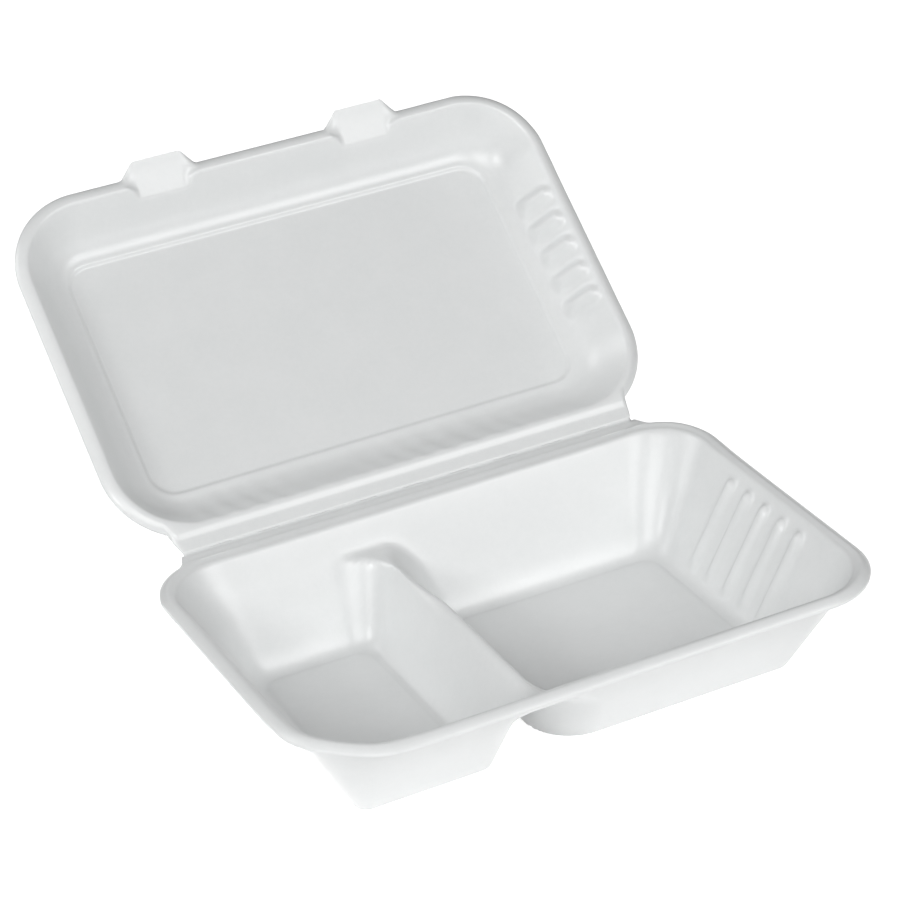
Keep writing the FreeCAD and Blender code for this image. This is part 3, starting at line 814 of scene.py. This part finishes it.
class CLAM_OT_stage(bpy.types.Operator):
    """Makes the pale floor, the soft lamps, the world and the camera"""

    bl_idname = "clamshell.stage"
    bl_label = "Stage"

    def execute(self, context):
        finish = context.scene.clamshell_finish
        self.floor(finish)
        self.world(context.scene)
        for name, place, size, power in LAMPS:
            lamp(name, place, size, power)
        self.camera(context.scene)
        context.scene.view_settings.view_transform = "Standard"
        return {"FINISHED"}

    def floor(self, finish):
        bm = bmesh.new()
        bmesh.ops.create_grid(bm, x_segments=1, y_segments=1, size=FLOOR_SIZE)
        mesh = bpy.data.meshes.new("floor")
        bm.to_mesh(mesh)
        bm.free()
        plane = bpy.data.objects.new("floor", mesh)
        bpy.context.scene.collection.objects.link(plane)
        nodes = Nodes("pale_floor")
        nodes.shader.inputs["Base Color"].default_value = (*finish.floor, 1)
        nodes.shader.inputs["Roughness"].default_value = 0.9
        nodes.shader.inputs["Specular IOR Level"].default_value = 0.0
        path = nodes.add("ShaderNodeLightPath")
        seen = nodes.add("ShaderNodeMath", {0: path.outputs["Is Camera Ray"],
                                            1: path.outputs["Is Glossy Ray"]}, operation="MAXIMUM")
        glow = nodes.add("ShaderNodeMath", {0: seen.outputs[0], 1: FLOOR_GLOW}, operation="MULTIPLY")
        nodes.shader.inputs["Emission Color"].default_value = (1, 1, 1, 1)
        nodes.link(glow.outputs[0], nodes.shader.inputs["Emission Strength"])
        mesh.materials.append(nodes.material)

    def world(self, scene):
        world = bpy.data.worlds.new("studio")
        world.use_nodes = True
        scene.world = world
        tree = world.node_tree
        sky = tree.nodes["Background"]
        sky.inputs["Color"].default_value = (1.0, 1.0, 1.0, 1.0)
        path = tree.nodes.new("ShaderNodeLightPath")
        seen = tree.nodes.new("ShaderNodeMapRange")
        seen.inputs["To Min"].default_value = SKY_LIGHT
        seen.inputs["To Max"].default_value = 1.0
        tree.links.new(path.outputs["Is Camera Ray"], seen.inputs["Value"])
        tree.links.new(seen.outputs[0], sky.inputs["Strength"])

    def camera(self, scene):
        data = bpy.data.cameras.new("camera")
        data.sensor_width = 36.0
        data.lens = CAMERA_LENS
        camera = bpy.data.objects.new("camera", data)
        scene.collection.objects.link(camera)
        camera.location = CAMERA_PLACE
        camera.rotation_euler = [math.radians(angle) for angle in CAMERA_TURN]
        scene.camera = camera


def lamp(name, place, size, power):
    """A soft square lamp that points at the container's middle."""
    data = bpy.data.lights.new(name, "AREA")
    data.size = size
    data.energy = power
    item = bpy.data.objects.new(name, data)
    bpy.context.scene.collection.objects.link(item)
    item.location = place
    aim = Vector(LAMP_AIM) - Vector(place)
    item.rotation_euler = aim.to_track_quat("-Z", "Y").to_euler()


class CLAM_PT_panel(bpy.types.Panel):
    """Lists the operators and the sizes and colours that a user may change"""

    bl_idname = "CLAM_PT_panel"
    bl_label = "Clamshell"
    bl_space_type = "VIEW_3D"
    bl_region_type = "UI"
    bl_category = "Clamshell"

    def draw(self, context):
        for operator in OPERATORS:
            self.layout.operator(operator.bl_idname)
        for group in settings(context):
            box = self.layout.box()
            for key in group.bl_rna.properties.keys():
                if key not in {"rna_type", "name"}:
                    box.prop(group, key)


GROUPS = {"sheet_sizes": SheetSizes, "tray_sizes": TraySizes, "lid_sizes": LidSizes,
          "clamshell_finish": Finish}
OPERATORS = (CLAM_OT_tray, CLAM_OT_lid, CLAM_OT_fold, CLAM_OT_stage)


def register():
    for item in (*GROUPS.values(), *OPERATORS, CLAM_PT_panel):
        bpy.utils.register_class(item)
    for name, group in GROUPS.items():
        setattr(bpy.types.Scene, name, PointerProperty(type=group))


def unregister():
    for name in GROUPS:
        delattr(bpy.types.Scene, name)
    for item in reversed((*GROUPS.values(), *OPERATORS, CLAM_PT_panel)):
        bpy.utils.unregister_class(item)


def main():
    register()
    bpy.ops.clamshell.stage()
    bpy.ops.clamshell.tray()
    bpy.ops.clamshell.lid()
    bpy.ops.clamshell.fold()


if __name__ == "__main__":
    main()
